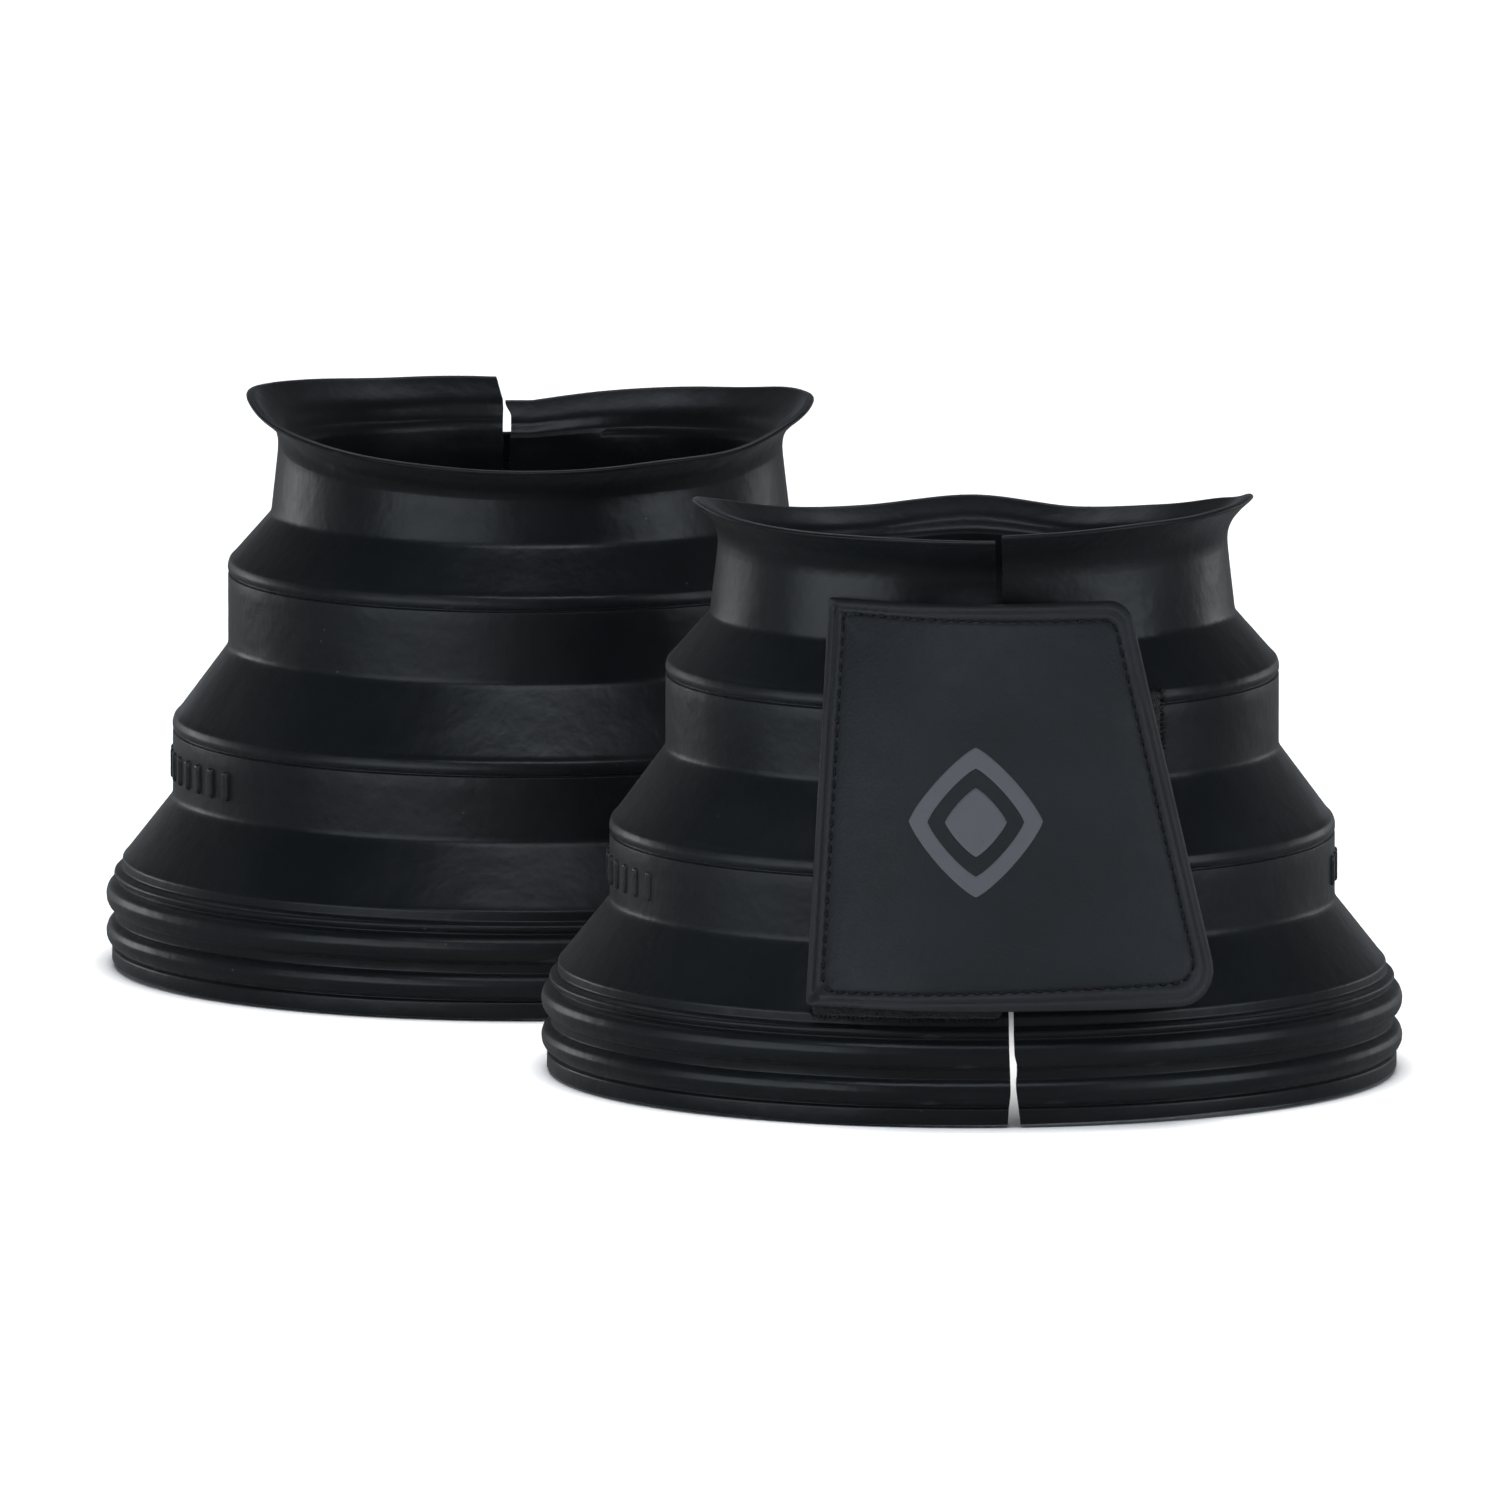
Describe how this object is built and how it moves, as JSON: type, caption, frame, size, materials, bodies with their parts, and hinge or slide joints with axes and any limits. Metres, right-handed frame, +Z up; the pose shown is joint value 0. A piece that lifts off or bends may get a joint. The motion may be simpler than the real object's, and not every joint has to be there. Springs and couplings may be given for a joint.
{
  "type": "bell boots",
  "caption": "Pair of black rubber bell boots for a horse: stepped, ribbed bells with a flared collar, split down the front and closed by a hook-and-loop flap.",
  "frame": {"origin": "on the ground, midway between the two boots", "axes": "+Z up; -Y is the way that the right boot's flap faces, and the left boot's faces +Y; +X is to the right boot's side"},
  "size_m": [0.265, 0.338, 0.1169],
  "materials": {
    "moulded_rubber": "satin moulded rubber",
    "flap_leather": "matte faux leather",
    "binding_leather": "matte faux leather",
    "foam": "closed-cell foam",
    "lining_fabric": "woven",
    "hook_tape": "hook tape",
    "loop_fabric": "brushed loop fabric",
    "thread": "bonded thread",
    "badge_print": "matte print"
  },
  "bodies": {
    "right_boot": {"right_shell": "moulded_rubber", "right_flap_anchor": "flap_leather", "right_flap_anchor_stitching": "thread", "right_shell_loop_pad": "loop_fabric", "right_loop_pad_stitching": "thread", "right_tab_anchor": "loop_fabric", "right_tab_anchor_stitching": "thread"},
    "right_flap": {"right_flap_panel": "flap_leather", "right_flap_core": "foam", "right_flap_lining": "lining_fabric", "right_flap_binding": "binding_leather", "right_flap_hook_pad": "hook_tape", "right_flap_badge": "badge_print", "right_flap_stitching": "thread"},
    "right_tab": {"right_tab_base": "lining_fabric", "right_tab_hook_pad": "hook_tape", "right_tab_loop_pad": "loop_fabric", "right_tab_stitching": "thread"},
    "left_boot": {"left_shell": "moulded_rubber", "left_flap_anchor": "flap_leather", "left_flap_anchor_stitching": "thread", "left_shell_loop_pad": "loop_fabric", "left_loop_pad_stitching": "thread", "left_tab_anchor": "loop_fabric", "left_tab_anchor_stitching": "thread"},
    "left_flap": {"left_flap_panel": "flap_leather", "left_flap_core": "foam", "left_flap_lining": "lining_fabric", "left_flap_binding": "binding_leather", "left_flap_hook_pad": "hook_tape", "left_flap_badge": "badge_print", "left_flap_stitching": "thread"},
    "left_tab": {"left_tab_base": "lining_fabric", "left_tab_hook_pad": "hook_tape", "left_tab_loop_pad": "loop_fabric", "left_tab_stitching": "thread"}
  },
  "joints": [
    {"name": "right_flap_fold", "type": "hinge", "parent": "right_boot", "child": "right_flap", "pos_m": [0.02055, -0.14864, 0.06325], "axis": [-0.0561, -0.3426, -0.9378], "range_deg": [0, 160]},
    {"name": "right_tab_fold", "type": "hinge", "parent": "right_boot", "child": "right_tab", "pos_m": [0.0805, -0.14225, 0.059], "axis": [0, 0.3839, 0.9234], "range_deg": [0, 60]},
    {"name": "left_flap_fold", "type": "hinge", "parent": "left_boot", "child": "left_flap", "pos_m": [-0.02055, 0.14864, 0.06325], "axis": [0.0561, 0.3426, -0.9378], "range_deg": [0, 160]},
    {"name": "left_tab_fold", "type": "hinge", "parent": "left_boot", "child": "left_tab", "pos_m": [-0.0805, 0.14225, 0.059], "axis": [0, -0.3839, 0.9234], "range_deg": [0, 60]},
    {"name": "left_boot_lift", "type": "slide", "parent": "right_boot", "child": "left_boot", "axis": [0, 0, 1], "range_m": [0, 0.15]}
  ],
  "couplings": [
    {"joint": "right_tab_fold", "follows": "right_flap_fold", "ratio": 0.375},
    {"joint": "left_tab_fold", "follows": "left_flap_fold", "ratio": 0.375}
  ]
}
